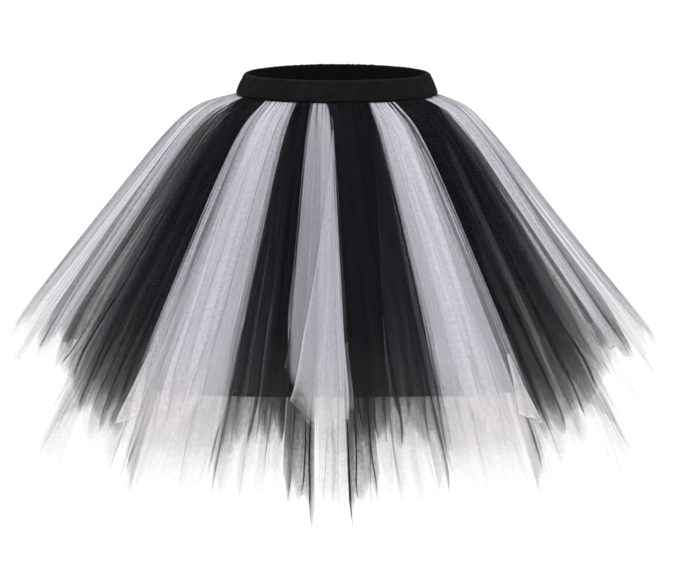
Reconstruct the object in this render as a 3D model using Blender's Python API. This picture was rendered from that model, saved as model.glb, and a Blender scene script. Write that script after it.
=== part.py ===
"""Ballet tutu: an elastic waistband in a gathered casing, a plain slip lining,
and two layers of tulle strips, black and white in turn.

Metres, +Z up, the front facing -Y. The origin is the centre of the waistband,
halfway up it, where the wearer's waist holds the skirt.

Every cloth piece is a thin closed wall. A strip of tulle is worked out from
four things: where its two edges leave the band, the bearings they then run
along, the slope of its layer down the cloth, and the length of cloth at its
corners and middle. Folds push the wall in and out across that slope.
"""
from collections import namedtuple
from math import cos, pi, radians, sin

import bmesh
import bpy
from mathutils import Vector

# ---- waistband ----------------------------------------------------------
WAIST_HALF_WIDTH = 0.116      # outside of the band, halfway up
WAIST_HALF_DEPTH = 0.087
BAND_HEIGHT = 0.025
BAND_LEAN = 0.004             # the lower edge stands this much wider, the upper one narrower
BAND_WALL = 0.0038            # elastic between two gathered plies of cloth
BAND_GATHERS = 56
GATHER_DEPTH = 0.0011
GATHER_COLUMNS = 3            # columns of points in one gather: two high, one low
# height: share of the band's, from its foot; standing: share of the gathers' depth there
Level = namedtuple("Level", "height standing")
BAND_PROFILE = (
    Level(1.00, 0.15),
    Level(0.84, 1.00),
    Level(0.14, 0.80),
    Level(0.00, 0.10),
)

# ---- tulle --------------------------------------------------------------
TULLE_WALL = 0.0018
SEAM_GAP = 0.0003             # between neighbouring pieces
PATH_STEP = 0.002             # spacing of the points that a layer's slope is summed over
SIDE_REACH = 4                # the higher, the closer to the sides their own slope stays
FOLD_PATTERN = (1, -1, -1, 1)  # how the columns of points in one fold are pushed
FOLD_COLUMNS = len(FOLD_PATTERN)
FOLD_GROWTH = 0.07            # the most that a fold is pushed, for each metre below the band
FOLD_STEEPNESS = 0.16         # the most that a fold is pushed, for each metre of its width

# ---- lining -------------------------------------------------------------
LINING_WALL = 0.0012
LINING_TUCK = 0.005           # how far its top runs up inside the band
LINING_NECK = 0.008           # it hangs straight this far below the band, then widens
LINING_DROP = 0.356           # from the band's lower edge to its hem
LINING_HEM_HALF_WIDTH = 0.222
LINING_HEM_HALF_DEPTH = 0.100
LINING_COLUMNS = 48
LINING_ROWS = 3

BAND_TOP = BAND_HEIGHT / 2
BAND_FOOT = -BAND_HEIGHT / 2
SHARP_EDGE = radians(40)      # edges that turn more than this are shaded sharp

# Slope below level, in degrees, at the skirt's left and right sides and at its front
# and back, against the length of cloth below the band.
Slope = namedtuple("Slope", "cloth left right front")
OUTER_SLOPE = (
    Slope(0.000, 10, 18, 34),
    Slope(0.025, 14, 24, 42),
    Slope(0.050, 32, 46, 50),
    Slope(0.080, 46, 50, 55),
    Slope(0.120, 51, 53, 57),
    Slope(0.350, 52, 50, 59),
    Slope(0.440, 64, 60, 66),
    Slope(0.600, 74, 74, 74),
)
UNDER_SLOPE = (
    Slope(0.000, 40, 42, 54),
    Slope(0.030, 50, 52, 60),
    Slope(0.080, 57, 58, 64),
    Slope(0.150, 60, 61, 66),
    Slope(0.400, 62, 62, 67),
    Slope(0.600, 71, 71, 73),
)

# A strip's left edge leaves the band at the angle "waist" of its ellipse and runs
# along the bearing "hem", both in degrees round from the front towards +X. Its
# right edge is the next strip's left one. The lengths of cloth are in metres.
Strip = namedtuple("Strip", "place colour waist hem left middle right")
OUTER_STRIPS = (
    Strip("side_left", "white", -98, -93, 0.402, 0.425, 0.402),
    Strip("front_left", "black", -73, -57, 0.386, 0.420, 0.448),
    Strip("left", "white", -52, -38, 0.436, 0.474, 0.466),
    Strip("mid_left", "black", -23.5, -20, 0.444, 0.424, 0.440),
    Strip("centre", "white", -17, -6, 0.428, 0.420, 0.416),
    Strip("mid_right", "black", 0, 4, 0.434, 0.420, 0.444),
    Strip("right", "white", 17.5, 21.5, 0.464, 0.476, 0.438),
    Strip("front_right", "black", 40, 38.5, 0.446, 0.420, 0.388),
    Strip("side_right", "white", 66, 57, 0.402, 0.425, 0.404),
    Strip("back_1", "black", 98, 93, 0.400, 0.428, 0.440),
    Strip("back_2", "white", 121, 118, 0.444, 0.468, 0.452),
    Strip("back_3", "black", 145, 143, 0.448, 0.424, 0.440),
    Strip("back_4", "white", 168, 168, 0.430, 0.446, 0.468),
    Strip("back_5", "black", 192, 192, 0.452, 0.420, 0.444),
    Strip("back_6", "white", 215, 217, 0.462, 0.470, 0.440),
    Strip("back_7", "black", 238, 241, 0.446, 0.424, 0.398),
)
UNDER_STRIPS = (
    Strip("side_left", "white", -98, -92, 0.470, 0.450, 0.480),
    Strip("front_left", "black", -77, -72, 0.492, 0.455, 0.484),
    Strip("left", "white", -52, -49, 0.478, 0.492, 0.512),
    Strip("mid_left", "black", -26, -27, 0.508, 0.452, 0.494),
    Strip("centre", "white", -11.5, -2, 0.486, 0.478, 0.490),
    Strip("mid_right", "black", 0, 5, 0.498, 0.454, 0.492),
    Strip("right", "white", 20, 26, 0.494, 0.490, 0.478),
    Strip("front_right", "black", 47, 50, 0.486, 0.452, 0.488),
    Strip("side_right", "white", 76, 74, 0.480, 0.450, 0.466),
    Strip("back_1", "black", 98, 92, 0.484, 0.456, 0.496),
    Strip("back_2", "white", 122, 117, 0.488, 0.476, 0.506),
    Strip("back_3", "black", 146, 143, 0.508, 0.456, 0.494),
    Strip("back_4", "white", 168, 169, 0.500, 0.484, 0.508),
    Strip("back_5", "black", 191, 193, 0.504, 0.456, 0.500),
    Strip("back_6", "white", 214, 218, 0.498, 0.474, 0.486),
    Strip("back_7", "black", 238, 243, 0.492, 0.452, 0.476),
)

# inset, drop: from the band's outside and its lower edge to the middle of the wall's top
# heads: lengths down the cloth of the first rows, where the slope turns most
# lower_rows: rows from the last head to the hem
# fold_turn: degrees of bearing that one fold takes; ragged: the hem's rise and fall with it
Layer = namedtuple("Layer", "name strips slope inset drop heads lower_rows fold_turn ragged")
LAYERS = (
    Layer("tulle", OUTER_STRIPS, OUTER_SLOPE, 0.0010, 0.0013,
          (0, 0.014, 0.034, 0.070), 3, 5.0, 0.006),
    Layer("under", UNDER_STRIPS, UNDER_SLOPE, 0.0029, 0.0025,
          (0, 0.028, 0.080), 2, 7.5, 0.007),
)

# colour (linear), roughness
FINISHES = {
    "black": ((0.013, 0.013, 0.015, 1), 0.72),
    "white": ((0.72, 0.71, 0.76, 1), 0.68),
    "casing": ((0.008, 0.008, 0.009, 1), 0.88),
    "lining": ((0.010, 0.010, 0.012, 1), 0.62),
}


def clear_scene():
    for item in list(bpy.data.objects):
        bpy.data.objects.remove(item)


def finish(name):
    """The Principled material for one finish, made on first use."""
    if name in bpy.data.materials:
        return bpy.data.materials[name]
    colour, roughness = FINISHES[name]
    material = bpy.data.materials.new(name)
    material.use_nodes = True
    shader = material.node_tree.nodes["Principled BSDF"]
    shader.inputs["Base Color"].default_value = colour
    shader.inputs["Roughness"].default_value = roughness
    shader.inputs["Metallic"].default_value = 0.0
    material.diffuse_color = colour
    return material


def mix(low, high, share):
    return low + (high - low) * share


def uneven(index, spread):
    """A number from 1 - spread to 1 + spread, always the same for an index, in no pattern."""
    return 1 + spread * sin(12.9898 * index + 4.1414 * sin(78.233 * index))


def make_wall(name, sections, is_tube, material):
    """One closed body through sections of a wall, each a loop of points.

    A loop runs down the outside and back up the inside. A tube's last section
    joins its first; any other wall gets a side edge at both ends, whose loops
    have as many points inside as outside.
    """
    mesh_edit = bmesh.new()
    loops = [[mesh_edit.verts.new(point) for point in section] for section in sections]
    following_loops = loops[1:] + loops[:1] if is_tube else loops[1:]
    for loop, following in zip(loops, following_loops):
        for index in range(len(loop)):
            mesh_edit.faces.new((
                loop[index - 1], loop[index], following[index], following[index - 1]))
    if not is_tube:
        for loop in (loops[0], loops[-1]):
            for row in range(len(loop) // 2 - 1):
                mesh_edit.faces.new((
                    loop[row], loop[row + 1], loop[-row - 2], loop[-row - 1]))
    bmesh.ops.triangulate(mesh_edit, faces=mesh_edit.faces)
    bmesh.ops.recalc_face_normals(mesh_edit, faces=mesh_edit.faces)
    mesh = bpy.data.meshes.new(name)
    mesh_edit.to_mesh(mesh)
    mesh_edit.free()
    mesh.shade_smooth()
    mesh.set_sharp_from_angle(angle=SHARP_EDGE)
    mesh.materials.append(material)
    piece = bpy.data.objects.new(name, mesh)
    bpy.context.collection.objects.link(piece)


def waist_point(angle, inset, height):
    """A point of the band's ellipse, moved in from its outside, at a height."""
    lean = -BAND_LEAN * height / BAND_TOP
    return Vector((
        (WAIST_HALF_WIDTH + lean - inset) * sin(angle),
        -(WAIST_HALF_DEPTH + lean - inset) * cos(angle),
        height))


def make_waistband():
    """The gathered casing: ridges outside, a plain face inside."""
    columns = BAND_GATHERS * GATHER_COLUMNS
    sections = []
    for column in range(columns):
        angle = 2 * pi * column / columns
        is_high = column % GATHER_COLUMNS < GATHER_COLUMNS - 1
        ridge = GATHER_DEPTH * uneven(column // GATHER_COLUMNS, 0.25) * is_high
        section = [
            waist_point(angle, -ridge * level.standing, mix(BAND_FOOT, BAND_TOP, level.height))
            for level in BAND_PROFILE]
        section.append(waist_point(angle, BAND_WALL, BAND_FOOT))
        section.append(waist_point(angle, BAND_WALL, BAND_TOP))
        sections.append(section)
    make_wall("waistband", sections, True, finish("casing"))


def make_lining():
    """The slip: a plain tube that widens at the sides from the band to a straight hem."""
    tucked = BAND_WALL + SEAM_GAP
    neck = waist_point(radians(90), tucked, BAND_FOOT).x, -waist_point(0, tucked, BAND_FOOT).y
    hem = LINING_HEM_HALF_WIDTH, LINING_HEM_HALF_DEPTH
    sections = []
    for column in range(LINING_COLUMNS):
        angle = 2 * pi * column / LINING_COLUMNS
        outside = [waist_point(angle, tucked, BAND_FOOT + LINING_TUCK)]
        inside = [waist_point(angle, tucked + LINING_WALL, BAND_FOOT + LINING_TUCK)]
        for row in range(LINING_ROWS):
            share = row / (LINING_ROWS - 1)
            width = mix(neck[0], hem[0], share)
            depth = mix(neck[1], hem[1], share)
            height = BAND_FOOT - mix(LINING_NECK, LINING_DROP, share)
            outside.append(Vector((width * sin(angle), -depth * cos(angle), height)))
            inside.append(Vector((
                (width - LINING_WALL) * sin(angle),
                -(depth - LINING_WALL) * cos(angle), height)))
        sections.append(outside + inside[::-1])
    make_wall("lining", sections, True, finish("lining"))


def slope_at(table, cloth, side):
    """The slope at a length down the cloth; side is 1 at the right side, -1 at the left."""
    column = "right" if side > 0 else "left"
    for upper, lower in zip(table, table[1:]):
        if cloth <= lower.cloth:
            share = (cloth - upper.cloth) / (lower.cloth - upper.cloth)
            at_side = mix(getattr(upper, column), getattr(lower, column), share)
            at_front = mix(upper.front, lower.front, share)
            return radians(mix(at_front, at_side, abs(side)))
    return radians(mix(table[-1].front, getattr(table[-1], column), abs(side)))


def slope_path(table, cloth, side):
    """How far out and how far down a length of cloth reaches, summed along its slope."""
    steps = max(1, round(cloth / PATH_STEP))
    out = 0.0
    down = 0.0
    for step in range(steps):
        slope = slope_at(table, (step + 0.5) * cloth / steps, side)
        out += cos(slope) * cloth / steps
        down += sin(slope) * cloth / steps
    return out, down


def strip_point(layer, waist, bearing, cloth, push, sideways):
    """A point of a layer: down the cloth, pushed out across its slope, moved sideways."""
    side = sin(bearing) * abs(sin(bearing)) ** (SIDE_REACH - 1)
    out, down = slope_path(layer.slope, cloth, side)
    slope = slope_at(layer.slope, cloth, side)
    outward = Vector((sin(bearing), -cos(bearing), 0))
    along = Vector((cos(bearing), sin(bearing), 0))
    start = waist_point(waist, layer.inset, BAND_FOOT)
    start.z -= layer.drop
    point = start + outward * out + Vector((0, 0, -down))
    point += (outward * sin(slope) + Vector((0, 0, cos(slope)))) * push
    return point + along * sideways


def fold_columns(number, folds):
    """Each column's place across a strip from 0 to 1, and how far its folds push it."""
    widths = [uneven(number * 7 + fold, 0.28) for fold in range(folds)]
    depths = [uneven(number * 5 + fold + 40, 0.20) for fold in range(folds)]
    total = sum(widths)
    columns = []
    reached = 0.0
    for width, depth in zip(widths, depths):
        for column in range(FOLD_COLUMNS):
            columns.append(((reached + width * column / FOLD_COLUMNS) / total,
                            FOLD_PATTERN[column] * depth))
        reached += width
    columns.append((1.0, FOLD_PATTERN[-1] * depths[-1]))
    return columns


def cloth_length(strip, share):
    """Length of cloth at a share of the way across: corners and middle, joined straight."""
    if share < 0.5:
        return mix(strip.left, strip.middle, share * 2)
    return mix(strip.middle, strip.right, share * 2 - 1)


def make_strip(layer, number):
    strip = layer.strips[number]
    after = layer.strips[(number + 1) % len(layer.strips)]
    turn = 360 if number == len(layer.strips) - 1 else 0
    folds = max(2, round((after.hem + turn - strip.hem) / layer.fold_turn))

    def place(share, cloth, push, sideways=0.0):
        waist = radians(mix(strip.waist, after.waist + turn, share))
        bearing = radians(mix(strip.hem, after.hem + turn, share))
        return strip_point(layer, waist, bearing, cloth, push, sideways)

    def fullest(cloth):
        fold_width = (place(1, cloth, 0) - place(0, cloth, 0)).length / folds
        return min(FOLD_GROWTH * cloth, FOLD_STEEPNESS * fold_width)

    sections = []
    for share, pushed in fold_columns(number, folds):
        sideways = SEAM_GAP / 2 * ((share == 0) - (share == 1))
        hem = cloth_length(strip, share) + layer.ragged * pushed
        rows = list(layer.heads)
        for row in range(1, layer.lower_rows + 1):
            rows.append(mix(layer.heads[-1], hem, row / layer.lower_rows))
        outside = []
        inside = []
        for cloth in rows:
            push = pushed * fullest(cloth)
            outside.append(place(share, cloth, push + TULLE_WALL / 2, sideways))
            inside.append(place(share, cloth, push - TULLE_WALL / 2, sideways))
        sections.append(outside + inside[::-1])
    make_wall(f"{layer.name}_{strip.place}", sections, False, finish(strip.colour))


clear_scene()
make_waistband()
make_lining()
for layer in LAYERS:
    for number in range(len(layer.strips)):
        make_strip(layer, number)
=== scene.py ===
# %% [markdown]
# # A tutu skirt of black and white net
# The skirt is filled out as if worn: an elastic waistband in a gathered casing,
# a plain slip lining, and strips of soft net that hang from the band in two
# layers. Net is the hard part. It is so thin and open that one sheet hardly
# shows, and all of its look comes from sheets and folds lying over each other.
# So each strip is made as a stack of real plies of net with real folds, and the
# material only says how much of one ply is thread.

# %% Load the frame
from collections import namedtuple
from math import cos, pi, radians, sin

import bpy
import numpy as np
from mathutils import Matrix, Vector


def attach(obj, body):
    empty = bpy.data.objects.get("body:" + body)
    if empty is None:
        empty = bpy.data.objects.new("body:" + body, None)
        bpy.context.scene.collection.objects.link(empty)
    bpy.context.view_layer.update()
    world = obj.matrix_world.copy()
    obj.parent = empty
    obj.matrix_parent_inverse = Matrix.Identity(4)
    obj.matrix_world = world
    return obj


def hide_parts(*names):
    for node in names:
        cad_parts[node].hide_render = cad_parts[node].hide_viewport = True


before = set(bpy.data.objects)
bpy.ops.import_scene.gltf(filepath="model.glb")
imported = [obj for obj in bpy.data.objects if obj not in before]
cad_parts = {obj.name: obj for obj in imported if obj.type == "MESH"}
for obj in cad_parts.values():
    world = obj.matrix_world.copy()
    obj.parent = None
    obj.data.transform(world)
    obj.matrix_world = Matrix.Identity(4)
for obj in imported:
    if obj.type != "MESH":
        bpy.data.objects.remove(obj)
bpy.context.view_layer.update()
ROOT = "root"
print("nodes:", len(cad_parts))

# %% [markdown]
# ## Camera
# A long lens from six metres keeps the waist and the hem on nearly the same
# scale. The camera looks a little down, so the inside of the band's back shows
# as a thin oval.

# %% Camera
CAMERA_DISTANCE = 6.0
CAMERA_HEIGHT_ANGLE = radians(8.5)
LOOK_AT = Vector((0.0036, 0.0, -0.2406))
FIELD_WIDTH = 0.816           # metres across the view at the skirt
SENSOR = 36.0

camera_data = bpy.data.cameras.new("camera")
camera_data.sensor_width = SENSOR
camera_data.lens = SENSOR * CAMERA_DISTANCE / FIELD_WIDTH
camera = bpy.data.objects.new("camera", camera_data)
bpy.context.collection.objects.link(camera)
backwards = Vector((0, -cos(CAMERA_HEIGHT_ANGLE), sin(CAMERA_HEIGHT_ANGLE)))
camera.location = LOOK_AT + backwards * CAMERA_DISTANCE
camera.rotation_euler = backwards.to_track_quat("Z", "Y").to_euler()
bpy.context.scene.camera = camera
print("lens", round(camera_data.lens), "mm")

# %% [markdown]
# ## Light and floor
# Even white light from all round, with three large soft lamps, is what leaves
# net looking pale and cloudy. Light has to pass through many plies, so the count
# of see-through surfaces along a ray is raised.

# %% Light and floor
SEE_THROUGH_SURFACES = 96
WORLD_COLOUR = (1.0, 1.0, 1.0, 1)
WORLD_STRENGTH = 1.06
FLOOR_HEIGHT = -0.95
FLOOR_SIZE = 60
FLOOR_COLOUR = (0.97, 0.97, 0.97, 1)
FLOOR_ROUGHNESS = 0.9

scene = bpy.context.scene
scene.view_settings.view_transform = "Standard"
scene.cycles.transparent_max_bounces = SEE_THROUGH_SURFACES
world = bpy.data.worlds.new("studio")
world.use_nodes = True
background = world.node_tree.nodes["Background"]
background.inputs["Color"].default_value = WORLD_COLOUR
background.inputs["Strength"].default_value = WORLD_STRENGTH
scene.world = world

Lamp = namedtuple("Lamp", "name place size power")
LAMPS = (
    Lamp("key", (-1.1, -2.4, 1.9), 1.6, 34),
    Lamp("fill", (1.6, -2.2, 0.6), 1.8, 14),
    Lamp("back", (0.4, 2.4, 1.6), 1.8, 12),
)
for lamp in LAMPS:
    light = bpy.data.lights.new(lamp.name, "AREA")
    light.size = lamp.size
    light.energy = lamp.power
    holder = bpy.data.objects.new(lamp.name, light)
    bpy.context.collection.objects.link(holder)
    holder.location = lamp.place
    holder.rotation_euler = (Vector(lamp.place) - LOOK_AT).to_track_quat("Z", "Y").to_euler()

bpy.ops.mesh.primitive_plane_add(size=FLOOR_SIZE, location=(0, 0, FLOOR_HEIGHT))
floor = bpy.context.object
floor.name = "floor"
bpy.ops.object.transform_apply(location=True, rotation=False, scale=False)
floor_material = bpy.data.materials.new("floor")
floor_material.use_nodes = True
floor_shader = floor_material.node_tree.nodes["Principled BSDF"]
floor_shader.inputs["Base Color"].default_value = FLOOR_COLOUR
floor_shader.inputs["Roughness"].default_value = FLOOR_ROUGHNESS
floor.data.materials.append(floor_material)
print("lamps:", len(LAMPS))

# %% [markdown]
# ## How a layer hangs
# A layer leaves the band nearly level at the sides, then turns down and runs
# straight to the hem. Its slope is known at a few lengths down the cloth, and
# summing the slope gives how far out and how far down any point of it is. The
# cloth stands out more at the sides than at the front, so each has a path of its
# own, with a blend between them. The under layer hangs more steeply.

# %% The band's oval and the layers' slopes
WAIST_HALF_WIDTH = 0.116
WAIST_HALF_DEPTH = 0.087
BAND_HEIGHT = 0.025
BAND_LEAN = 0.004             # the band's foot stands out this much, its top stands in
BAND_WALL = 0.0038
BAND_TOP = BAND_HEIGHT / 2
BAND_FOOT = -BAND_HEIGHT / 2
SIDE_REACH = 4                # the higher, the closer to the side its slope keeps

# cloth: metres down from the band; the rest: degrees below level there
Slope = namedtuple("Slope", "cloth left right front")
OUTER_SLOPE = (
    Slope(0.000, 10, 18, 34),
    Slope(0.025, 14, 24, 42),
    Slope(0.050, 32, 46, 50),
    Slope(0.080, 46, 50, 55),
    Slope(0.120, 51, 53, 57),
    Slope(0.350, 52, 50, 59),
    Slope(0.440, 64, 60, 66),
    Slope(0.600, 74, 74, 74),
)
UNDER_SLOPE = (
    Slope(0.000, 40, 42, 54),
    Slope(0.030, 50, 52, 60),
    Slope(0.080, 57, 58, 64),
    Slope(0.150, 60, 61, 66),
    Slope(0.400, 62, 62, 67),
    Slope(0.600, 71, 71, 73),
)
STEP = 0.002                  # metres of cloth between the sums
SIDE_STEPS = 20
LONGEST = 0.600
JUST_INSIDE = 1e-6            # keeps a reading within its table


def hanging_paths(slopes):
    """Tables of out, down and slope, with rows from the left side to the right side."""
    cloth = np.arange(0, LONGEST + STEP, STEP)
    marks = [slope.cloth for slope in slopes]
    left, right, front = (
        np.interp(cloth, marks, [getattr(slope, column) for slope in slopes])
        for column in ("left", "right", "front"))
    share = np.linspace(-1, 1, 2 * SIDE_STEPS + 1)[:, None]
    at_side = np.where(share > 0, right, left)
    slope = np.radians(front + (at_side - front) * np.abs(share))
    halfway = (slope[:, 1:] + slope[:, :-1]) / 2
    start = np.zeros((len(share), 1))
    out = np.hstack([start, np.cumsum(np.cos(halfway) * STEP, axis=1)])
    down = np.hstack([start, np.cumsum(np.sin(halfway) * STEP, axis=1)])
    return out, down, slope


def read_table(table, side, cloth):
    """The table's value between its rows and columns."""
    row = np.clip((side + 1) * SIDE_STEPS, 0, 2 * SIDE_STEPS - JUST_INSIDE)
    column = np.clip(cloth / STEP, 0, table.shape[1] - 1 - JUST_INSIDE)
    r, c = row.astype(int), column.astype(int)
    fr, fc = row - r, column - c
    upper = table[r, c] * (1 - fc) + table[r, c + 1] * fc
    lower = table[r + 1, c] * (1 - fc) + table[r + 1, c + 1] * fc
    return upper * (1 - fr) + lower * fr


def waist_points(angle, inset, height):
    """Points on the band's oval, moved in and set at a height."""
    lean = -BAND_LEAN * height / BAND_TOP
    return np.stack([
        (WAIST_HALF_WIDTH + lean - inset) * np.sin(angle),
        -(WAIST_HALF_DEPTH + lean - inset) * np.cos(angle),
        height + np.zeros_like(angle)], axis=-1)


def layer_points(layer, waist, bearing, cloth, push):
    """Points of a layer for arrays of angles, lengths of cloth and pushes across it."""
    side = np.sin(bearing) * np.abs(np.sin(bearing)) ** (SIDE_REACH - 1)
    out = read_table(layer.paths[0], side, cloth)
    down = read_table(layer.paths[1], side, cloth)
    slope = read_table(layer.paths[2], side, cloth)
    points = waist_points(waist, layer.inset, BAND_FOOT - layer.drop)
    reach = out + push * np.sin(slope)
    points[..., 0] += reach * np.sin(bearing)
    points[..., 1] -= reach * np.cos(bearing)
    points[..., 2] += push * np.cos(slope) - down
    return points


print("reach at each side:",
      [round(float(hanging_paths(OUTER_SLOPE)[0][row, -1]), 3) for row in (0, -1)])

# %% [markdown]
# ## The strips
# Sixteen strips go round in each layer, white and black in turn. A row says
# which kind of strip it is and whether that is mirrored. Then it says, for the
# outer and the under layer, where the strip's left edge leaves the band and
# which way it runs, in degrees round from the front.

# %% Strip table
Strip = namedtuple("Strip", "place colour kind mirrored outer under")
STRIPS = (
    Strip("side_left", "white", "side", False, (-98, -93), (-98, -92)),
    Strip("front_left", "black", "flank", False, (-73, -57), (-77, -72)),
    Strip("left", "white", "broad", False, (-52, -38), (-52, -49)),
    Strip("mid_left", "black", "narrow", False, (-23.5, -20), (-26, -27)),
    Strip("centre", "white", "centre", False, (-17, -6), (-11.5, -2)),
    Strip("mid_right", "black", "narrow", True, (0, 4), (0, 5)),
    Strip("right", "white", "broad", True, (17.5, 21.5), (20, 26)),
    Strip("front_right", "black", "flank", True, (40, 38.5), (47, 50)),
    Strip("side_right", "white", "side", True, (66, 57), (76, 74)),
    Strip("back_1", "black", "rear", False, (98, 93), (98, 92)),
    Strip("back_2", "white", "broad", False, (121, 118), (122, 117)),
    Strip("back_3", "black", "narrow", False, (145, 143), (146, 143)),
    Strip("back_4", "white", "centre", False, (168, 168), (168, 169)),
    Strip("back_5", "black", "narrow", True, (192, 192), (191, 193)),
    Strip("back_6", "white", "broad", True, (215, 217), (214, 218)),
    Strip("back_7", "black", "rear", True, (238, 241), (238, 243)),
)
Layer = namedtuple("Layer", "name edges inset drop paths")
LAYERS = (
    Layer("tulle", [strip.outer for strip in STRIPS], 0.0010, 0.0013, hanging_paths(OUTER_SLOPE)),
    Layer("under", [strip.under for strip in STRIPS], 0.0029, 0.0025, hanging_paths(UNDER_SLOPE)),
)
print("strips:", len(STRIPS), "in each of", len(LAYERS), "layers")

# %% [markdown]
# ## The net's material
# A real net has thousands of holes, far too small to see from a step away. So
# the material mixes thread and hole as one number, the cover, and lets fine
# detail change it: a mesh of threads at its true pitch, streaks where the net
# is pulled along its length, and a denser line along each cut edge. The group
# is shared, and each net gives it its own cover and colours.

# %% Node helpers
def add_group(name, inputs, outputs):
    group = bpy.data.node_groups.new(name, "ShaderNodeTree")
    for label, kind, value in inputs:
        socket = group.interface.new_socket(label, in_out="INPUT", socket_type=kind)
        socket.default_value = value
    for label, kind in outputs:
        group.interface.new_socket(label, in_out="OUTPUT", socket_type=kind)
    return group, group.nodes.new("NodeGroupInput"), group.nodes.new("NodeGroupOutput")


def math_node(tree, operation, first, second=None):
    node = tree.nodes.new("ShaderNodeMath")
    node.operation = operation
    for socket, value in zip(node.inputs, (first, second)):
        if value is None:
            continue
        if isinstance(value, (int, float)):
            socket.default_value = value
        else:
            tree.links.new(value, socket)
    return node.outputs[0]


def noise_node(tree, vector, stretch, scale, detail):
    mapping = tree.nodes.new("ShaderNodeMapping")
    mapping.inputs["Scale"].default_value = stretch
    tree.links.new(vector, mapping.inputs["Vector"])
    noise = tree.nodes.new("ShaderNodeTexNoise")
    noise.inputs["Scale"].default_value = scale
    noise.inputs["Detail"].default_value = detail
    tree.links.new(mapping.outputs[0], noise.inputs["Vector"])
    return noise.outputs["Fac"]


def range_node(tree, value, low, high, to_low, to_high):
    node = tree.nodes.new("ShaderNodeMapRange")
    for socket, number in zip(node.inputs[1:5], (low, high, to_low, to_high)):
        socket.default_value = number
    tree.links.new(value, node.inputs[0])
    return node.outputs[0]


print("helpers ready")

# %% The shared net effect
NET_PITCH = 0.0014            # metres between the net's threads
THREAD_REACH = 0.30           # from a thread's middle, as a share of the pitch
AT_THREAD, AT_HOLE = 1.22, 0.82
LEAST_COVER = 0.25
NOISE_LOW, NOISE_HIGH = 0.3, 0.7
# stretch, scale: how many there are in a metre of net; strength: the most they change its cover
Mottle = namedtuple("Mottle", "stretch scale detail strength")
MOTTLES = (
    Mottle((120.0, 5.0, 1.0), 1.0, 2.0, 0.16),      # fine streaks
    Mottle((38.0, 3.0, 1.0), 1.0, 2.0, 0.45),       # broad streaks
    Mottle((1.0, 1.0, 1.0), 210.0, 3.0, 0.55),      # soft blotches
)


def make_net_group():
    group, given, result = add_group(
        "open net",
        [("Cover", "NodeSocketFloat", 0.25), ("Streaks", "NodeSocketFloat", 0.5)],
        [("Alpha", "NodeSocketFloat")])
    flat = group.nodes.new("ShaderNodeUVMap").outputs[0]
    threads = group.nodes.new("ShaderNodeTexVoronoi")
    threads.feature = "DISTANCE_TO_EDGE"
    threads.inputs["Scale"].default_value = 1 / NET_PITCH
    group.links.new(flat, threads.inputs["Vector"])
    thread = range_node(group, threads.outputs["Distance"], 0.0, THREAD_REACH, AT_THREAD, AT_HOLE)
    changes = []
    for mottle in MOTTLES:
        noise = noise_node(group, flat, mottle.stretch, mottle.scale, mottle.detail)
        changes.append(
            range_node(group, noise, NOISE_LOW, NOISE_HIGH, -mottle.strength, mottle.strength))
    streak = math_node(group, "ADD", changes[0], changes[1])
    streak = math_node(group, "ADD", streak, changes[2])
    streak = math_node(group, "MULTIPLY", streak, given.outputs["Streaks"])
    streak = math_node(group, "MAXIMUM", math_node(group, "ADD", streak, 1.0), LEAST_COVER)
    crowding = group.nodes.new("ShaderNodeAttribute")
    crowding.attribute_name = "crowding"
    plies = math_node(group, "MULTIPLY", streak, thread)
    plies = math_node(group, "MULTIPLY", plies, crowding.outputs["Fac"])
    hole = math_node(group, "SUBTRACT", 1.0, given.outputs["Cover"])
    left_open = math_node(group, "POWER", hole, plies)
    group.links.new(math_node(group, "SUBTRACT", 1.0, left_open), result.inputs["Alpha"])
    return group


NET_GROUP = make_net_group()
print("net group:", len(NET_GROUP.nodes), "nodes")

# %% The two nets
NET_SPECULAR = 0.05
# The nets are coloured darker near the band, as painted shade, and lighter towards the hem; the
# tint also shifts from lavender to warm.
TINT_AND_SHADE_START, TINT_AND_SHADE_END = 0.30, 0.42   # metres of cloth over which the colour shifts

# cover: share of one ply that is thread; streaks: how strongly it varies
Net = namedtuple("Net", "name cover streaks near_band near_hem roughness sheen")
# The colour near the band is darker than the one near the hem: painted shade near the band.
NETS = {
    "white": Net("white_net", 0.30, 0.40,
                 (0.55, 0.55, 0.61, 1), (0.62, 0.595, 0.605, 1), 0.62, 0.06),
    "black": Net("black_net", 0.38, 0.35,
                 (0.0045, 0.0045, 0.0065, 1), (0.020, 0.017, 0.018, 1), 0.70, 0.03),
}


def make_net(net):
    """Soft net: its colour is darker near the band as painted shade and grows lighter and warmer
    towards the hem.
    """
    material = bpy.data.materials.new(net.name)
    material.use_nodes = True
    tree = material.node_tree
    shader = tree.nodes["Principled BSDF"]
    shader.inputs["Roughness"].default_value = net.roughness
    shader.inputs["Sheen Weight"].default_value = net.sheen
    shader.inputs["Specular IOR Level"].default_value = NET_SPECULAR
    effect = tree.nodes.new("ShaderNodeGroup")
    effect.node_tree = NET_GROUP
    effect.inputs["Cover"].default_value = net.cover
    effect.inputs["Streaks"].default_value = net.streaks
    tree.links.new(effect.outputs["Alpha"], shader.inputs["Alpha"])
    flat = tree.nodes.new("ShaderNodeUVMap")
    split = tree.nodes.new("ShaderNodeSeparateXYZ")
    tree.links.new(flat.outputs[0], split.inputs[0])
    down = range_node(tree, split.outputs["Y"], TINT_AND_SHADE_START, TINT_AND_SHADE_END, 0.0, 1.0)
    blend = tree.nodes.new("ShaderNodeMix")
    blend.data_type = "RGBA"
    # the colour near the band is darkened as painted shade
    blend.inputs["A"].default_value = net.near_band
    blend.inputs["B"].default_value = net.near_hem
    tree.links.new(down, blend.inputs["Factor"])
    tree.links.new(blend.outputs["Result"], shader.inputs["Base Color"])
    return material


NET_MATERIALS = {colour: make_net(net) for colour, net in NETS.items()}
print("nets:", list(NET_MATERIALS))

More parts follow.
